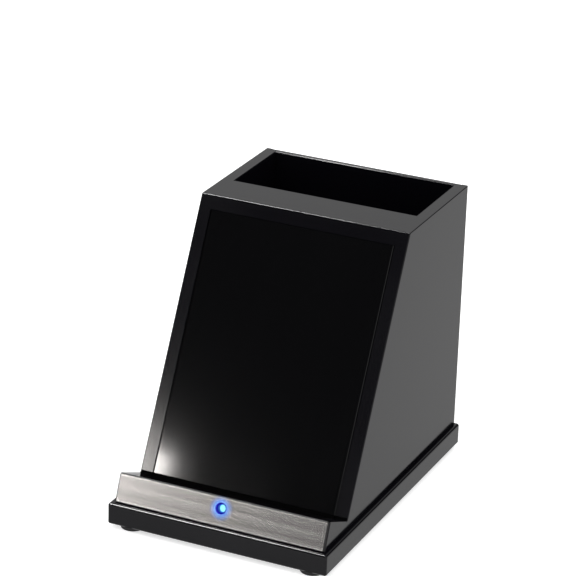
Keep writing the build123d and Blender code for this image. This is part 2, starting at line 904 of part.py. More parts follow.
def lead(points, diameter):
    runs = [after - before for before, after in zip(points, points[1:])]
    radii = []
    for run, following in zip(runs, runs[1:]):
        half_turn = radians(run.get_angle(following)) / 2
        radii.append(bend_share * min(run.length, following.length) / tan(half_turn))
    path = FilletPolyline(*points, radius=radii)
    section = Plane(origin=path @ 0, z_dir=path % 0) * Circle(diameter / 2)
    tube = sweep(section, path=path)
    full_share = tube.volume / (pi * (diameter / 2) ** 2 * path.length)
    bends = ", ".join(f"{radius:.1f}" for radius in radii)
    print(f"lead {diameter} thick: bend radii {bends}; volume {full_share:.3f} of section times length")
    return tube


def power_lead():
    """From the inlet's header, forward in the routed channel, and up to the main board."""
    z = usb_board_under - usb_header_thick / 2
    rise = board_rise + header_rise
    mouth = board_back + header_thick
    points = [
        Vector(0, usb_board_front_y, z),
        Vector(0, access_back_y - power_lead_clear, z),
        seat_point(0, rise, mouth + power_lead_run),
        seat_point(0, rise, mouth),
    ]
    return lead(points, power_lead_diameter)


def led_lead():
    """From the lamp's strip, in a groove of the base board under the panel, and up to the main board."""
    x = led_lead_x
    start_rise = led_rise - led_lead_drop
    groove_floor = base_top - led_groove_depth + led_lead_diameter / 2 + cover_gap
    header_depth = board_back + header_thick / 2
    turn_z = groove_floor + led_lead_lift
    turn_rise = (turn_z - groove_z + header_depth * cos(seat_angle)) / sin(seat_angle)
    points = [
        (lip * Pos(x, start_rise, -led_board_back)).position,
        (lip * Pos(x, start_rise, -led_board_back - led_lead_run)).position,
        Vector(x, groove_y - led_groove_ahead, groove_floor),
        Vector(x, groove_y + led_groove_behind, groove_floor),
        seat_point(x, turn_rise, header_depth),
        seat_point(x, board_rise + header_edge_gap, header_depth),
    ]
    return lead(points, led_lead_diameter)


def coil_leads():
    """Two wires from each coil, through the tray's slot, to the edge of the main board."""
    depth = tray_front - coil_thick / 2
    board_depth = (board_front + board_back) / 2
    leads = []
    for rise in both_sides(coil_lead_spread):
        level = lower_coil_rise + rise
        route = [
            (coil_outer_radius, level, depth),
            (lead_slot_x, level, depth),
            (lead_slot_x, level, board_depth),
            (board_half, level, board_depth),
        ]
        leads.append(lead([seat_point(*place) for place in route], coil_lead_diameter))
    corner_level = board_rise + board_length - board_hole_inset
    for rise in both_sides(coil_lead_spread):
        outward = coil_lead_pitch / 2 if rise > 0 else -coil_lead_pitch / 2
        x = -lead_slot_x - outward
        level = upper_coil_rise + rise
        end_level = corner_level - coil_lead_pitch - 2 * outward
        route = [
            (-coil_outer_radius, level, depth),
            (x, level, depth),
            (x, level, board_depth),
            (x, end_level, board_depth),
            (-board_half, end_level, board_depth),
        ]
        leads.append(lead([seat_point(*place) for place in route], coil_lead_diameter))
    return leads


pieces = {
    "base_board": base_board(),
    "left_side_panel": side_panel(-1),
    "right_side_panel": side_panel(1),
    "back_panel": back_panel(),
    "well_front_wall": well_front_wall(),
    "top_rail": top_rail(),
    "well_floor_pad": well_floor_pad(),
    "left_glue_block": glue_block(-1),
    "right_glue_block": glue_block(1),
    "charging_panel": charging_panel(),
    "left_cleat": cleat(-1),
    "right_cleat": cleat(1),
    "lip_trim": lip_trim(),
    "indicator_led": indicator_led(),
    "led_board": led_board(),
    "lower_coil": coil(lower_coil_rise),
    "upper_coil": coil(upper_coil_rise),
    "lower_ferrite": ferrite(lower_coil_rise),
    "upper_ferrite": ferrite(upper_coil_rise),
    "coil_tray": coil_tray(),
    "main_board": main_board(),
    "controller_chip": controller_chip(),
    "driver_chips": driver_chips(),
    "tank_capacitors": tank_capacitors(),
    "filter_inductor": filter_inductor(),
    "lead_headers": lead_headers(),
    "usb_board": usb_board(),
    "usb_socket": usb_socket(),
    "usb_tongue": usb_tongue(),
    "usb_lead_header": usb_lead_header(),
    "inlet_bezel": inlet_bezel(),
    "bottom_cover": bottom_cover(),
    "power_lead": power_lead(),
    "led_lead": led_lead(),
    "coil_leads": coil_leads(),
    "base_dowels": dowels(),
    "base_screws": flush_screws(
        base_screw_places, base_screw_length, base_screw_radius, base_head_radius, base_head_depth
    ),
    "cover_screws": flush_screws(
        cover_screw_places, cover_screw_length, small_screw_radius, small_head_radius, small_head_thick
    ),
    "tray_screws": pan_screws(
        tray_screw_places,
        tray_back,
        tray_screw_length,
        small_screw_radius,
        small_head_radius,
        small_head_thick,
    ),
    "board_screws": pan_screws(
        board_screw_places,
        board_back,
        board_screw_length,
        small_screw_radius,
        small_head_radius,
        small_head_thick,
    ),
    "cleat_screws": pan_screws(
        cleat_screw_places,
        cleat_back,
        cleat_screw_length,
        cleat_screw_radius,
        cleat_head_radius,
        cleat_head_thick,
    ),
}
for name, (x, y) in foot_places.items():
    pieces[name] = foot(x, y)

os.makedirs("parts", exist_ok=True)
for name, shape in pieces.items():
    whole = Compound(children=shape) if isinstance(shape, list) else shape
    export_step(whole, f"parts/{name}.step")
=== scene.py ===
import math

import bmesh
import bpy
from mathutils import Matrix, Vector, noise


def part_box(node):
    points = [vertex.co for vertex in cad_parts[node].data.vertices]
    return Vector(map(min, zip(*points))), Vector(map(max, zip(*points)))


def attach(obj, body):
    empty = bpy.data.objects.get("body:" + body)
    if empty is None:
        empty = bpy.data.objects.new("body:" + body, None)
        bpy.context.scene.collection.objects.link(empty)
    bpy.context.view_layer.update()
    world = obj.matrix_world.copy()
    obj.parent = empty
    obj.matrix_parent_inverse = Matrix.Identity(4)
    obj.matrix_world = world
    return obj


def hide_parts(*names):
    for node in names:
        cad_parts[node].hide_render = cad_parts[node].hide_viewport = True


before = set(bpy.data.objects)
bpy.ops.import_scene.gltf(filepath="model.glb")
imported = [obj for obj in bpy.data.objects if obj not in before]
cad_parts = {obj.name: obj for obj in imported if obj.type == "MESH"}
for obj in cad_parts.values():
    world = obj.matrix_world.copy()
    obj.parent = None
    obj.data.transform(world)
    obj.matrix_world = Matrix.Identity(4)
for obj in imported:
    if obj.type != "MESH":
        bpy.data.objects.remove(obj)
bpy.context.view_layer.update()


# Feet
# Four moulded rubber discs, 10 mm across, stuck under the corners of the base board. The rubber is
# dull and slightly dusty, with a fine grain from the mould.


class Reading:
    """What comes out of a step of a recipe. Sums, products and the like add their own steps."""

    def __init__(self, recipe, socket):
        self.recipe = recipe
        self.socket = socket

    def maths(self, operation, *values):
        return self.recipe.step("ShaderNodeMath", {"operation": operation}, dict(enumerate(values)))

    def __add__(self, other):
        return self.maths("ADD", self, other)

    def __radd__(self, other):
        return self.maths("ADD", other, self)

    def __sub__(self, other):
        return self.maths("SUBTRACT", self, other)

    def __rsub__(self, other):
        return self.maths("SUBTRACT", other, self)

    def __mul__(self, other):
        return self.maths("MULTIPLY", self, other)

    def __rmul__(self, other):
        return self.maths("MULTIPLY", other, self)

    def __pow__(self, other):
        return self.maths("POWER", self, other)

    def __rpow__(self, other):
        return self.maths("POWER", other, self)

    def __gt__(self, other):
        return self.maths("GREATER_THAN", self, other)

    def __lt__(self, other):
        return self.maths("LESS_THAN", self, other)

    def __abs__(self):
        return self.maths("ABSOLUTE", self)


class Recipe:
    """A tree of nodes, built one step at a time."""

    def __init__(self, tree):
        self.tree = tree

    def step(self, kind, settings=None, values=None, output=0):
        """Adds a node: first its settings, then the values or readings that go into its sockets."""
        made = self.tree.nodes.new(kind)
        for name, value in (settings or {}).items():
            setattr(made, name, value)
        for name, value in (values or {}).items():
            self.feed(made.inputs[name], value)
        return None if output is None else Reading(self, made.outputs[output])

    def feed(self, socket, value):
        for one in value if isinstance(value, list) else [value]:
            if isinstance(one, Reading):
                self.tree.links.new(one.socket, socket)
            else:
                socket.default_value = one

    def between(self, reading, low, high):
        """0 at low, 1 at high, and a smooth step between."""
        values = {"Value": reading, "From Min": low, "From Max": high}
        return self.step("ShaderNodeMapRange", {"interpolation_type": "SMOOTHSTEP"}, values)

    def vectors(self, operation, *values, output=0):
        """Vector maths on readings and plain vectors; a length comes out at output 1."""
        settings = {"operation": operation}
        return self.step("ShaderNodeVectorMath", settings, dict(enumerate(values)), output)


class Finish(Recipe):
    """One material: a Principled shader and the patterns that vary it over the surface."""

    def __init__(self, name):
        self.material = bpy.data.materials.new(name)
        self.material.use_nodes = True
        super().__init__(self.material.node_tree)
        self.shader = self.tree.nodes["Principled BSDF"]
        self.place = self.step("ShaderNodeTexCoord", output="Object")

    def turned(self, scale=(1, 1, 1), centre=(0, 0, 0), angle=(0, 0, 0)):
        """The place on the piece, centred and turned, and then stretched along the axes."""
        values = {"Vector": self.place, "Location": centre, "Rotation": angle}
        settled = self.step("ShaderNodeMapping", {"vector_type": "TEXTURE"}, values)
        return self.vectors("MULTIPLY", settled, scale)

    def grain(self, scale, detail=3.0, place=None, rough=0.5):
        """Noise from 0 to 1, with so many grains to the metre."""
        values = {"Vector": place or self.place, "Scale": scale, "Detail": detail, "Roughness": rough}
        return self.step("ShaderNodeTexNoise", {}, values)

    def tint(self, share, colour, other):
        """A colour that changes into another one as the share goes from 0 to 1."""
        ends = [one if isinstance(one, Reading) else (*one, 1.0) for one in (colour, other)]
        settings = {"data_type": "RGBA", "clamp_factor": True}
        return self.step("ShaderNodeMix", settings, {0: share, 6: ends[0], 7: ends[1]}, output=2)

    def relief(self, height, depth, strength=1.0):
        """Presses a height pattern into the surface, so many metres deep."""
        values = {"Height": height, "Distance": depth, "Strength": strength}
        self.surface({"Normal": self.step("ShaderNodeBump", {}, values)})

    def along(self, axis, place=None):
        """How far a place on the piece lies along X, Y or Z."""
        return self.step("ShaderNodeSeparateXYZ", {}, {"Vector": place or self.place}, output=axis)

    def surface(self, values):
        """Sets the shader's own sockets, each to a value or to what a pattern gives."""
        for name, value in values.items():
            self.feed(self.shader.inputs[name], value)


def dress(finish, *names):
    """Gives pieces whose shape is right as it is their finish."""
    for name in names:
        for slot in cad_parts[name].material_slots:
            slot.material = finish.material


foot_rubber = Finish("foot_rubber")
rubber_dust = foot_rubber.between(foot_rubber.grain(260.0, 4.0), 0.45, 0.75)
foot_rubber.surface(
    {
        "Base Color": foot_rubber.tint(rubber_dust, (0.014, 0.014, 0.015), (0.034, 0.033, 0.032)),
        "Roughness": 0.72 + rubber_dust * 0.16,
        "IOR": 1.5,
    }
)
foot_rubber.relief(foot_rubber.grain(2600.0, 3.0), 0.00006, 0.5)
dress(foot_rubber, "front_left_foot", "front_right_foot", "back_left_foot", "back_right_foot")


# Base board
# A 9 mm fibreboard slab with a rounded top edge, sprayed with several coats of black lacquer and
# rubbed down to an even satin. Seen close, the lacquer has a very fine ripple and soft cloudy
# patches that the polishing left a little duller.


def lacquer(name, cloud):
    """Black satin lacquer; the clouds are where the polishing left it a little duller."""
    finish = Finish(name)
    patches = finish.between(finish.grain(cloud, 2.0), 0.3, 0.7)
    specks = finish.between(finish.grain(1900.0, 2.0), 0.66, 0.8)
    finish.surface(
        {
            "Base Color": finish.tint(patches, (0.0024, 0.0022, 0.0036), (0.0036, 0.0034, 0.0050)),
            "Roughness": 0.12 + patches * 0.04 + specks * 0.05,
            "IOR": 1.36,
        }
    )
    finish.relief(finish.grain(700.0, 2.0), 0.000005, 0.5)
    return finish


base_lacquer = lacquer("base_lacquer", 26.0)
dress(base_lacquer, "base_board")


# Power inlet
# A type C socket soldered under a small green board, in a pocket that a moulded cover closes from
# below. Its steel shell ends just inside the back edge, in a black moulded bezel, and its tongue has
# gilded strips on both faces as contacts.


class Pattern(Recipe):
    """A piece made of repeats: a Geometry Nodes tree with named sizes, turned into a plain mesh."""

    kinds = {float: "NodeSocketFloat", int: "NodeSocketInt", tuple: "NodeSocketVector"}

    def __init__(self, name, sizes):
        super().__init__(bpy.data.node_groups.new(name, "GeometryNodeTree"))
        face = self.tree.interface
        face.new_socket("Geometry", in_out="INPUT", socket_type="NodeSocketGeometry")
        face.new_socket("Geometry", in_out="OUTPUT", socket_type="NodeSocketGeometry")
        self.name = name
        self.values = {}
        for size, value in sizes.items():
            kind = self.kinds.get(type(value), "NodeSocketMaterial")
            socket = face.new_socket(size, in_out="INPUT", socket_type=kind)
            self.values[socket.identifier] = value
        self.sizes = self.tree.nodes.new("NodeGroupInput")

    def size(self, name):
        return Reading(self, self.sizes.outputs[name])

    def offset(self, **lengths):
        """A vector from lengths along X, Y and Z."""
        return self.step("ShaderNodeCombineXYZ", {}, lengths)

    def row(self, count, start, apart):
        """So many points in a line, each one offset from the last."""
        values = {"Count": count, "Start Location": start, "Offset": apart}
        return self.step("GeometryNodeMeshLine", {"mode": "OFFSET"}, values)

    def moved(self, geometry, **ways):
        """The geometry after a Rotation, a Translation or both."""
        return self.step("GeometryNodeTransform", {}, {"Geometry": geometry, **ways})

    def cast(self, geometry, smooth=False):
        """Makes the repeats real and gives them their material; returns the piece."""
        real = self.step("GeometryNodeRealizeInstances", {}, {"Geometry": geometry})
        shaded = self.step("GeometryNodeSetShadeSmooth", {}, {"Geometry": real, "Shade Smooth": smooth})
        values = {"Geometry": shaded, "Material": self.size("Material")}
        done = self.step("GeometryNodeSetMaterial", {}, values)
        self.tree.links.new(done.socket, self.tree.nodes.new("NodeGroupOutput").inputs[0])
        piece = bpy.data.objects.new(self.name, bpy.data.meshes.new(self.name))
        bpy.context.scene.collection.objects.link(piece)
        modifier = piece.modifiers.new("pattern", "NODES")
        modifier.node_group = self.tree
        for identifier, value in self.values.items():
            modifier[identifier] = value
        ready = piece.evaluated_get(bpy.context.evaluated_depsgraph_get())
        mesh = bpy.data.meshes.new_from_object(ready)
        piece.modifiers.remove(modifier)
        piece.data = mesh
        mesh.name = self.name
        return piece


def middle(node):
    """The middle of the box round a piece."""
    low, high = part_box(node)
    return (low + high) / 2


def moulded(name, colour, sheen):
    """Matt moulded plastic with the fine spark texture of its mould."""
    finish = Finish(name)
    shade = finish.grain(340.0, 3.0)
    lighter = tuple(1.5 * part for part in colour)
    finish.surface(
        {
            "Base Color": finish.tint(shade, colour, lighter),
            "Roughness": sheen + shade * 0.14,
            "IOR": 1.46,
        }
    )
    finish.relief(finish.grain(3200.0, 2.0), 0.00005, 0.4)
    return finish


def plated_steel(name, colour, sheen):
    """Rolled steel with thin plating: faint cloudy tarnish and fine rubbing marks."""
    finish = Finish(name)
    tarnish = finish.grain(420.0, 4.0)
    darker = tuple(0.72 * part for part in colour)
    finish.surface(
        {
            "Base Color": finish.tint(tarnish, darker, colour),
            "Metallic": 1.0,
            "Roughness": sheen + tarnish * 0.18,
        }
    )
    finish.relief(finish.grain(5200.0, 2.0), 0.00002, 0.4)
    return finish


# Lanes for copper traces, so many to the metre along a board and across it, and the share left bare.
# A fade, here and below, is a pair: where a change starts and where it ends; here, in its lane.
lanes_along = (210.0, 1150.0, 0.0)
lanes_across = (1150.0, 260.0, 0.0)
bare_lanes = 0.52
trace_fade = (0.16, 0.26)


def circuit_green(name, angle):
    """Green solder mask, paler where it runs over copper traces, which go along the board or across."""
    finish = Finish(name)
    traces = []
    for grid, across in ((lanes_along, "Y"), (lanes_across, "X")):
        place = finish.turned(scale=grid, angle=angle)
        off_middle = abs(finish.along(across, finish.vectors("FRACTION", place)) - 0.5)
        lane = finish.vectors("FLOOR", place)
        etched = finish.step("ShaderNodeTexWhiteNoise", {}, {"Vector": lane}) > bare_lanes
        traces.append((1 - finish.between(off_middle, *trace_fade)) * etched)
    trace = traces[0].maths("MAXIMUM", *traces)
    finish.surface(
        {
            "Base Color": finish.tint(trace, (0.006, 0.075, 0.032), (0.016, 0.17, 0.07)),
            "Roughness": 0.32 + finish.grain(600.0, 2.0) * 0.12,
            "IOR": 1.5,
        }
    )
    finish.relief(trace, 0.00004, 0.5)
    return finish


def sleeve(name, colour):
    """The soft sleeve of a lead, a little uneven along its length."""
    finish = Finish(name)
    bands = finish.grain(180.0, 2.0)
    paler = tuple(1.6 * part for part in colour)
    finish.surface(
        {
            "Base Color": finish.tint(bands, colour, paler),
            "Roughness": 0.42 + bands * 0.2,
            "IOR": 1.45,
        }
    )
    return finish


socket_steel = plated_steel("socket_steel", (0.60, 0.60, 0.61), 0.2)
black_moulding = moulded("black_moulding", (0.016, 0.016, 0.017), 0.42)
header_nylon = moulded("header_nylon", (0.52, 0.50, 0.44), 0.4)
inlet_board = circuit_green("inlet_board", (0.0, 0.0, 0.0))
lead_sleeve = sleeve("lead_sleeve", (0.018, 0.018, 0.021))
dress(socket_steel, "usb_socket")
dress(black_moulding, "usb_tongue", "inlet_bezel", "bottom_cover")
dress(inlet_board, "usb_board")
dress(header_nylon, "usb_lead_header")
dress(lead_sleeve, "power_lead")

contact_gilt = Finish("contact_gilt")
worn_gilt = contact_gilt.grain(900.0, 2.0)
contact_gilt.surface(
    {
        "Base Color": contact_gilt.tint(worn_gilt, (0.72, 0.50, 0.20), (0.86, 0.64, 0.30)),
        "Metallic": 1.0,
        "Roughness": 0.24,
    }
)
tongue_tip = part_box("usb_tongue")[1].y
contact_inset = 0.0022
contacts = Pattern(
    "usb_contacts",
    {
        "Count": 12,
        "Pitch": 0.0005,
        "Size": (0.00026, 0.0034, 0.00004),
        "Middle": (0.0, tongue_tip - contact_inset, middle("usb_tongue").z),
        "Half thickness": 0.00036,
        "Material": contact_gilt.material,
    },
)
span = (contacts.size("Count") - 1) * contacts.size("Pitch")
contact_apart = contacts.offset(X=contacts.size("Pitch"))
row = contacts.row(contacts.size("Count"), contacts.offset(X=span * -0.5), contact_apart)
strip = contacts.step("GeometryNodeMeshCube", {}, {"Size": contacts.size("Size")})
strips = contacts.step("GeometryNodeInstanceOnPoints", {}, {"Points": row, "Instance": strip})
faces = []
for side in (-1.0, 1.0):
    lift = contacts.offset(Z=contacts.size("Half thickness") * side)
    where = contacts.vectors("ADD", contacts.size("Middle"), lift)
    faces.append(contacts.moved(strips, Translation=where))
usb_contacts = contacts.cast(contacts.step("GeometryNodeJoinGeometry", {}, {"Geometry": faces}))
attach(usb_contacts, "root")


# Body boards
# Two side boards cut to the profile of lip, ledge and rest, a thin back in their rebates, the wall
# in front of the pen well in their dadoes, and the rail between rest and well. They are glued,
# filled at the joints and lacquered together, so the satin runs across them.

groove_middle = (0.0, -0.04445, 0.01480)
groove_fade = (0.001, 0.0013)
# Near-black colour of the painted shade laid into the hollow between ledge and back rest.
painted_groove_shade = (0.002, 0.002, 0.002)


def paint_groove_shade(finish):
    """Paints the hollow between ledge and back rest near-black and matt, a painted shade in place of its
    gloss.
    """
    beside = finish.vectors("MULTIPLY", finish.turned(centre=groove_middle), (0.0, 1.0, 1.0))
    away = finish.vectors("LENGTH", beside, output=1)
    inside = abs(finish.along("X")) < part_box("lip_trim")[1].x
    hollow = (1 - finish.between(away, *groove_fade)) * inside
    matt = finish.step("ShaderNodeBsdfDiffuse", {}, {"Color": (*painted_groove_shade, 1.0)})
    gloss = Reading(finish, finish.shader.outputs[0])
    mixed = finish.step("ShaderNodeMixShader", {}, {0: hollow, 1: gloss, 2: matt})
    finish.feed(finish.tree.nodes["Material Output"].inputs["Surface"], mixed)


body_lacquer = lacquer("body_lacquer", 14.0)
# Painted shade: the hollow between ledge and back rest is near-black and matt.
paint_groove_shade(body_lacquer)
dress(body_lacquer, "left_side_panel", "right_side_panel", "back_panel", "well_front_wall", "top_rail")


# Blocks, cleats, dowels and base screws
# Plain planed wood, glued inside where nobody sees it. The screws are zinc plated and come up from
# below, four through the base board and four through its cover, with their heads flush.


def planed_wood(name, scale):
    """Planed softwood: growth rings stretched along the grain, and open pores."""
    finish = Finish(name)
    along = finish.turned(scale=scale)
    rings = finish.grain(1.0, 3.0, place=along, rough=0.6)
    pores = finish.grain(9.0, 2.0, place=along)
    early_wood = finish.between(rings, 0.3, 0.7)
    finish.surface(
        {
            "Base Color": finish.tint(early_wood, (0.36, 0.235, 0.125), (0.56, 0.40, 0.24)),
            "Roughness": 0.62 + pores * 0.2,
            "IOR": 1.45,
        }
    )
    finish.relief(pores, 0.00008, 0.5)
    return finish


batten_wood = planed_wood("batten_wood", (240.0, 30.0, 60.0))
dowel_wood = planed_wood("dowel_wood", (700.0, 700.0, 60.0))
screw_zinc = plated_steel("screw_zinc", (0.56, 0.56, 0.57), 0.26)
dress(batten_wood, "left_glue_block", "right_glue_block", "left_cleat", "right_cleat")
dress(dowel_wood, "base_dowels")
dress(screw_zinc, "base_screws", "cover_screws")


# Charging panel
# One black moulding with a polished face: lip, ledge and back rest in a single bent wall, let in
# flush between the side boards. The polish is nearly a mirror, with very faint wipe marks.

lip_rise = 0.01145
lip_run = 0.0045
lip_lean = math.atan2(lip_rise, lip_run)
lamp_eye = (0.0, -0.06387, 0.01807)
bore_fade = (0.0022, 0.0027)
unlit = (0.0, 0.0, 0.0)


def from_lamp(finish):
    """How far a place on the lip is from the middle of the lamp, across the lip."""
    on_lip = finish.turned(centre=lamp_eye, angle=(lip_lean, 0.0, 0.0))
    return finish.vectors("LENGTH", finish.vectors("MULTIPLY", on_lip, (1.0, 1.0, 0.0)), output=1)


panel_gloss = Finish("panel_gloss")
wipes = panel_gloss.grain(22.0, 3.0, place=panel_gloss.turned(scale=(1.0, 0.25, 0.25)))
ripple = panel_gloss.grain(60.0, 2.0)
# Painted light: the panel glows blue round the lamp's bore, standing in for the lamp's light on the
# bore's wall.
painted_bore_glow = 1 - panel_gloss.between(from_lamp(panel_gloss), *bore_fade)
panel_gloss.surface(
    {
        "Base Color": (0.0018, 0.0018, 0.0022, 1.0),
        "Roughness": 0.07 + panel_gloss.between(wipes, 0.45, 0.7) * 0.03,
        "IOR": 1.45,
        "Emission Color": panel_gloss.tint(painted_bore_glow, unlit, (0.0, 0.004, 0.30)),
        "Emission Strength": 1.0,
    }
)
panel_gloss.relief(ripple, 0.00002, 0.4)
# Painted shade: the panel's hollow between ledge and back rest is near-black and matt.
paint_groove_shade(panel_gloss)
dress(panel_gloss, "charging_panel")


# Coils, ferrites and their tray
# Two flat coils of enamelled copper, wound in two layers, each bonded to a ferrite sheet. A moulded
# tray holds them close behind the panel and is held by four small screws.

copper_enamel = Finish("copper_enamel")
amber = copper_enamel.grain(500.0, 3.0)
copper_enamel.surface(
    {
        "Base Color": copper_enamel.tint(amber, (0.44, 0.15, 0.055), (0.62, 0.26, 0.10)),
        "Metallic": 1.0,
        "Roughness": 0.3 + amber * 0.12,
    }
)
ferrite_grey = moulded("ferrite_grey", (0.050, 0.050, 0.054), 0.55)
rest_rise = 0.1032
rest_run = 0.0508
coil_tilt = math.atan2(rest_rise, rest_run)
layer_pitch = 2.08
for name, turn in (("lower_coil", 0.0), ("upper_coil", math.pi)):
    winding = Pattern(
        name + "_winding",
        {
            "Turns": 11.0,
            "Inner radius": 0.0105,
            "Outer radius": 0.0215,
            "Wire radius": 0.00047,
            "Layers": 2,
            "Turn": (0.0, 0.0, turn),
            "Tilt": (coil_tilt, 0.0, 0.0),
            "Centre": tuple(middle(name)),
            "Material": copper_enamel.material,
        },
    )
    spiral = winding.step(
        "GeometryNodeCurveSpiral",
        {},
        {
            "Resolution": 44,
            "Rotations": winding.size("Turns"),
            "Start Radius": winding.size("Inner radius"),
            "End Radius": winding.size("Outer radius"),
            "Height": 0.0,
        },
    )
    round_wire = winding.step(
        "GeometryNodeCurvePrimitiveCircle",
        {"mode": "RADIUS"},
        {"Resolution": 8, "Radius": winding.size("Wire radius")},
    )
    wire = winding.step(
        "GeometryNodeCurveToMesh", {}, {"Curve": spiral, "Profile Curve": round_wire, "Fill Caps": True}
    )
    drop = winding.offset(Z=winding.size("Wire radius") * (layer_pitch / -2))
    rise = winding.offset(Z=winding.size("Wire radius") * layer_pitch)
    levels = winding.row(winding.size("Layers"), drop, rise)
    layers = winding.step("GeometryNodeInstanceOnPoints", {}, {"Points": levels, "Instance": wire})
    turned = winding.moved(layers, Rotation=winding.size("Turn"))
    leaning = winding.moved(turned, Rotation=winding.size("Tilt"), Translation=winding.size("Centre"))
    coil = winding.cast(leaning, smooth=True)
    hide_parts(name)
    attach(coil, "root")
dress(copper_enamel, "coil_leads")
dress(ferrite_grey, "lower_ferrite", "upper_ferrite")
dress(black_moulding, "coil_tray")
dress(screw_zinc, "tray_screws", "cleat_screws")


# Main board
# A green board on four standoffs of the tray. It carries the controller, two drivers, a row of tan
# capacitors, a moulded inductor and two nylon headers for the leads, all reflow soldered.

main_green = circuit_green("main_green", (coil_tilt, 0.0, 0.0))
dress(main_green, "main_board")
chip_black = moulded("chip_black", (0.014, 0.014, 0.015), 0.5)
dress(chip_black, "controller_chip", "driver_chips")
capacitor_tan = moulded("capacitor_tan", (0.36, 0.22, 0.11), 0.38)
dress(capacitor_tan, "tank_capacitors")
dress(ferrite_grey, "filter_inductor")
dress(header_nylon, "lead_headers")
dress(screw_zinc, "board_screws")

chips_low, chips_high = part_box("driver_chips")
driver_half_width = 0.0025
legs = Pattern(
    "driver_legs",
    {
        "Legs": 3,
        "Pitch": 0.0012,
        "Size": (0.0009, 0.0004, 0.00016),
        "Chip spread": (chips_high.x - chips_low.x) / 2 - driver_half_width,
        "Half chip": 0.0028,
        "Depth": 0.00066,
        "Tilt": (coil_tilt, 0.0, 0.0),
        "Centre": tuple(middle("driver_chips")),
        "Material": socket_steel.material,
    },
)
leg = legs.step("GeometryNodeMeshCube", {}, {"Size": legs.size("Size")})
first_leg = (legs.size("Legs") - 1) * legs.size("Pitch") * -0.5
leg_apart = legs.offset(Y=legs.size("Pitch"))
rows = []
for chip in (-1.0, 1.0):
    for side in (-1.0, 1.0):
        beside_chip = legs.size("Chip spread") * chip + legs.size("Half chip") * side
        start = legs.offset(X=beside_chip, Y=first_leg, Z=legs.size("Depth"))
        rows.append(legs.row(legs.size("Legs"), start, leg_apart))
points = legs.step("GeometryNodeJoinGeometry", {}, {"Geometry": rows})
standing = legs.step("GeometryNodeInstanceOnPoints", {}, {"Points": points, "Instance": leg})
driver_legs = legs.cast(
    legs.moved(standing, Rotation=legs.size("Tilt"), Translation=legs.size("Centre"))
)
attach(driver_legs, "root")


# Status lamp
# A 3 mm blue lamp with a round nose, pushed from behind into the bore of the panel and soldered to
# a small board. It is lit: pale cyan in the middle of the nose and deep blue round it.

heart_fade = (0.0012, 0.00165)
lamp_glow = Finish("lamp_glow")
heart = 1 - lamp_glow.between(from_lamp(lamp_glow), *heart_fade)
lamp_glow.surface(
    {
        "Base Color": (0.10, 0.30, 0.8, 1.0),
        "Roughness": 0.15,
        "Emission Color": lamp_glow.tint(heart, (0.0, 0.10, 0.85), (0.33, 1.0, 0.86)),
        "Emission Strength": 1.0,
    }
)
dress(lamp_glow, "indicator_led")
dress(circuit_green("lamp_green", (lip_lean, 0.0, 0.0)), "led_board")
dress(lead_sleeve, "led_lead")


# Lip trim
# A strip of 1 mm steel, brushed lengthwise, with eased edges, glued to the front of the lip. The brushing
# leaves long fine lines; the lamp shines through a hole in it. The blue light round the hole and on the
# hole's wall is a painted glow, the paler top and bottom edges are a painted highlight, and the dark
# outline along its ends and top edge is painted shade.

hole_wall_reach = 0.00236
halo_fade = (0.0014, 0.0060)
strip_corner = 0.0008
top_above_lamp = 0.0047
lamp_above_middle = 0.00115
dark_edge_fade_inset = (0.00048, 0.0004)
rim_fade = (0.0044, 0.0056)

brushed_strip = Finish("brushed_strip")


def strip_grain(scale):
    """Noise on the strip, with so many grains to the metre along it and up it."""
    place = brushed_strip.turned((*scale, 0.0), lamp_eye, (lip_lean, 0.0, 0.0))
    return brushed_strip.grain(1.0, 1.0, place=place, rough=0.6)


fine_lines = strip_grain((30.0, 3600.0))
long_lines = strip_grain((9.0, 1300.0))
bands = strip_grain((6.0, 330.0))
brushing = fine_lines * 0.55 + long_lines * 0.45
shine = brushed_strip.between(brushing * 0.6 + bands * 0.4, 0.34, 0.66)
brushed_steel = brushed_strip.tint(shine, (0.53, 0.517, 0.509), (0.63, 0.615, 0.605))

strip_distance = from_lamp(brushed_strip)
# Painted light: a blue glow round the lamp's hole, given as emission and as a blue tint in the steel's
# colour.
painted_halo = (1 - brushed_strip.between(strip_distance, *halo_fade)) ** 1.6
# Painted light: the wall of the hole glows blue with the lamp's light.
painted_hole_glow = strip_distance < hole_wall_reach
painted_glow = brushed_strip.tint(painted_halo, unlit, (0.03, 0.20, 0.80))

corner_middle = (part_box("lip_trim")[1].x - strip_corner, top_above_lamp - strip_corner, 1.0)
on_strip = brushed_strip.turned(centre=lamp_eye, angle=(lip_lean, 0.0, 0.0))
other_half = brushed_strip.vectors("MULTIPLY", on_strip, (-1.0, 1.0, 1.0))
in_half = brushed_strip.vectors("MAXIMUM", on_strip, other_half)
from_corner = brushed_strip.vectors("SUBTRACT", in_half, corner_middle)
past_corner = brushed_strip.vectors("MAXIMUM", from_corner, (0.0, 0.0, 0.0))
outward = brushed_strip.vectors("LENGTH", past_corner, output=1)
# Painted shade: a near-black, non-metal outline along the strip's ends and top edge.
painted_dark_edge = brushed_strip.between(outward, *(strip_corner - inset for inset in dark_edge_fade_inset))
off_centre = abs(brushed_strip.along("Y", on_strip) + lamp_above_middle)
# Painted highlight: the steel is paler along its top and bottom edges.
painted_rim_highlight = brushed_strip.between(off_centre, *rim_fade)
highlighted_steel = brushed_strip.tint(painted_rim_highlight, brushed_steel, (0.88, 0.86, 0.84))
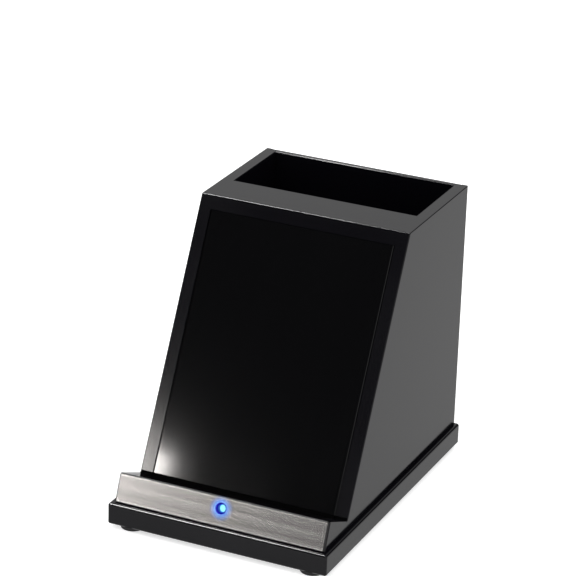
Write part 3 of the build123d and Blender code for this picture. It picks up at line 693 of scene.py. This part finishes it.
# Painted light: the steel's colour is tinted blue round the hole.
blue_painted_steel = brushed_strip.tint(painted_halo * 0.85, highlighted_steel, (0.18, 0.36, 0.72))
brushed_strip.surface(
    {
        "Base Color": brushed_strip.tint(painted_dark_edge, blue_painted_steel, (0.006, 0.006, 0.007)),
        "Metallic": 1.0 - painted_dark_edge,
        "Roughness": 0.165 + brushing * 0.05 + bands * 0.07 + painted_dark_edge * 0.3,
        "Emission Color": brushed_strip.tint(painted_hole_glow, painted_glow, (0.0, 0.003, 0.33)),
        "Emission Strength": 1.0,
    }
)
brushed_strip.relief(bands, 0.00003, 0.5)
dress(brushed_strip, "lip_trim")


# Felt
# A sheet of pressed black felt, cut to the floor of the pen well and laid on the base board. Its
# edges are soft and its top has small tufts and hollows.

felt_black = Finish("felt_black")
tufts = felt_black.grain(1500.0, 5.0, rough=0.75)
matting = felt_black.grain(240.0, 3.0)
fuzz = tufts * 0.7 + matting * 0.3
felt_black.surface(
    {
        "Base Color": felt_black.tint(fuzz, (0.008, 0.008, 0.009), (0.048, 0.048, 0.053)),
        "Roughness": 0.92,
        "Sheen Weight": 0.35,
        "Sheen Roughness": 0.5,
    }
)
felt_black.relief(tufts, 0.0003, 0.8)

felt_low, felt_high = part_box("well_floor_pad")
felt_steps = (150, 74)
felt_edge_radius = 0.0007
felt_slack = 0.0001
tuft_height = 0.00005
felt_mesh = bmesh.new()
felt_top = []
felt_under = []
for across in range(felt_steps[0] + 1):
    for back in range(felt_steps[1] + 1):
        x = felt_low.x + (felt_high.x - felt_low.x) * across / felt_steps[0]
        y = felt_low.y + (felt_high.y - felt_low.y) * back / felt_steps[1]
        inward = min(x - felt_low.x, felt_high.x - x, y - felt_low.y, felt_high.y - y)
        fall = max(0.0, 1.0 - inward / felt_edge_radius)
        tuft = noise.noise(Vector((x, y, 0.0)) * 900.0) + noise.noise(Vector((x, y, 0.4)) * 260.0)
        rounding = felt_edge_radius * (1.0 - math.sqrt(1.0 - fall * fall))
        z = felt_high.z - felt_slack - rounding + tuft_height * tuft
        felt_top.append(felt_mesh.verts.new((x, y, z)))
        felt_under.append(felt_mesh.verts.new((x, y, felt_low.z)))
rank = felt_steps[1] + 1
for across in range(felt_steps[0]):
    for back in range(felt_steps[1]):
        corner = across * rank + back
        ring = [corner, corner + rank, corner + rank + 1, corner + 1]
        felt_mesh.faces.new([felt_top[i] for i in ring])
        felt_mesh.faces.new([felt_under[i] for i in reversed(ring)])
for across in range(felt_steps[0]):
    for edge, order in ((0, 1), (felt_steps[1], -1)):
        near, far = (across * rank + edge, (across + 1) * rank + edge)[::order]
        felt_mesh.faces.new([felt_top[far], felt_top[near], felt_under[near], felt_under[far]])
for back in range(felt_steps[1]):
    for edge, order in ((0, -1), (felt_steps[0] * rank, 1)):
        near, far = (edge + back, edge + back + 1)[::order]
        felt_mesh.faces.new([felt_top[far], felt_top[near], felt_under[near], felt_under[far]])
bmesh.ops.recalc_face_normals(felt_mesh, faces=felt_mesh.faces)
felt_sheet_mesh = bpy.data.meshes.new("felt_sheet")
felt_mesh.to_mesh(felt_sheet_mesh)
felt_mesh.free()
felt_sheet_mesh.polygons.foreach_set("use_smooth", [True] * len(felt_sheet_mesh.polygons))
felt_sheet_mesh.materials.append(felt_black.material)
felt_sheet = bpy.data.objects.new("felt_sheet", felt_sheet_mesh)
bpy.context.scene.collection.objects.link(felt_sheet)
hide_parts("well_floor_pad")
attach(felt_sheet, "root")


# Table, light and camera
# The part stands on a pale table in plain soft studio light. Its gloss mirrors the table, a little
# dimmer, and a sky that is dark at the front left and the back right, which draws its edges.

table_mesh = bpy.data.meshes.new("table")
table_reach = 4.0
table_corners = [(x * table_reach, y * table_reach, 0.0) for x, y in ((-1, -1), (1, -1), (1, 1), (-1, 1))]
table_mesh.from_pydata(table_corners, [], [(0, 1, 2, 3)])
table = bpy.data.objects.new("table", table_mesh)
bpy.context.scene.collection.objects.link(table)
table_white = Finish("table_white")
table_paint = (0.86, 0.86, 0.86)
mirrored_paint = (0.16, 0.16, 0.16)
white = (1.0, 1.0, 1.0)
white_glow = 0.62
to_camera = table_white.step("ShaderNodeLightPath", output="Is Camera Ray")
to_gloss = table_white.step("ShaderNodeLightPath", output="Is Glossy Ray")
to_glass = table_white.step("ShaderNodeLightPath", output="Is Transmission Ray")
to_mirror = to_gloss + to_glass
table_white.surface(
    {
        "Base Color": table_white.tint(to_mirror, table_paint, mirrored_paint),
        "Roughness": 0.9,
        "Specular IOR Level": 0.0,
        "Emission Color": table_white.tint(to_camera + to_mirror, unlit, white),
        "Emission Strength": white_glow,
    }
)
table_mesh.materials.append(table_white.material)

studio = bpy.data.worlds.new("studio")
studio.use_nodes = True
studio.node_tree.nodes.clear()
air = Recipe(studio.node_tree)
direction = air.step("ShaderNodeTexCoord", output="Generated")
rightward = air.step("ShaderNodeSeparateXYZ", {}, {"Vector": direction}, output="X")
backward = air.step("ShaderNodeSeparateXYZ", {}, {"Vector": direction}, output="Y")
front_left = air.between(rightward, -0.12, -0.25) * air.between(backward, 0.35, 0.0)
back_right = air.between(rightward, 0.1, 0.3) * air.between(backward, 0.0, 0.3)
far_back = air.between(backward, 0.3, 0.6)
mirror_dark = 0.22 + front_left * 0.74 + back_right * 0.65 + far_back * 0.1
straight = air.step("ShaderNodeLightPath", output="Is Camera Ray")
mirrored = air.step("ShaderNodeLightPath", output="Is Glossy Ray")
through = air.step("ShaderNodeLightPath", output="Is Transmission Ray")
sky_white = (*white, 1.0)
sky_light = 0.9
sky_seen = 1 - mirror_dark * (1 - straight)
lit_sky = air.step("ShaderNodeBackground", {}, {"Color": sky_white, "Strength": sky_light})
seen_sky = air.step("ShaderNodeBackground", {}, {"Color": sky_white, "Strength": sky_seen})
sky = air.step("ShaderNodeMixShader", {}, {0: straight + mirrored + through, 1: lit_sky, 2: seen_sky})
air.step("ShaderNodeOutputWorld", {}, {"Surface": sky}, output=None)
bpy.context.scene.world = studio


def soft_box(name, place, aim, size, power, mirrored, colour=white):
    """A soft box that points at a place. Either gloss mirrors it, or it lights matt surfaces."""
    light = bpy.data.lights.new(name, "AREA")
    light.shape = "RECTANGLE"
    light.size = size[0]
    light.size_y = size[1]
    light.energy = power
    light.color = colour
    box = bpy.data.objects.new(name, light)
    away = Vector(place) - Vector(aim)
    box.matrix_world = Matrix.Translation(place) @ away.to_track_quat("Z", "Y").to_matrix().to_4x4()
    box.visible_camera = False
    box.visible_diffuse = not mirrored
    box.visible_glossy = mirrored
    bpy.context.scene.collection.objects.link(box)


soft_box("top_box", (-0.35, -0.45, 1.05), (0.0, 0.0, 0.05), (0.7, 0.5), 1.2, mirrored=False)
soft_box("edge_box", (-0.381, -0.373, 0.765), (0.0, -0.065, 0.01), (0.155, 0.317), 14.0, mirrored=True)
warm = (1.0, 0.965, 0.935)
soft_box("front_box", (-0.4714, -0.7740, 0.3425), (-0.045, -0.05, 0.02), (0.151, 0.041), 0.88, True, warm)
soft_box("strip_box", (-0.516, -0.807, 0.210), (-0.045, -0.062, 0.018), (0.157, 0.141), 0.2, True, warm)

camera_place = (0.44335, -0.99333, 0.53905)
camera_back = Vector((0.3788, -0.8425, 0.3832)).normalized()
camera_right = Vector((0.9121, 0.4101, 0.0)).normalized()
camera_up = camera_back.cross(camera_right)
roll = math.radians(1.95)
picture_pixels = 576.0
focal_pixels = 2953.7
rolled_right = camera_right * math.cos(roll) + camera_up * math.sin(roll)
rolled_up = camera_up * math.cos(roll) - camera_right * math.sin(roll)
lens = bpy.data.cameras.new("camera")
lens.sensor_width = 36.0
lens.lens = lens.sensor_width * focal_pixels / picture_pixels
camera = bpy.data.objects.new("camera", lens)
turn = Matrix((rolled_right, rolled_up, camera_back)).transposed().to_4x4()
camera.matrix_world = Matrix.Translation(camera_place) @ turn
bpy.context.scene.collection.objects.link(camera)
bpy.context.scene.camera = camera
bpy.context.scene.view_settings.view_transform = "Standard"
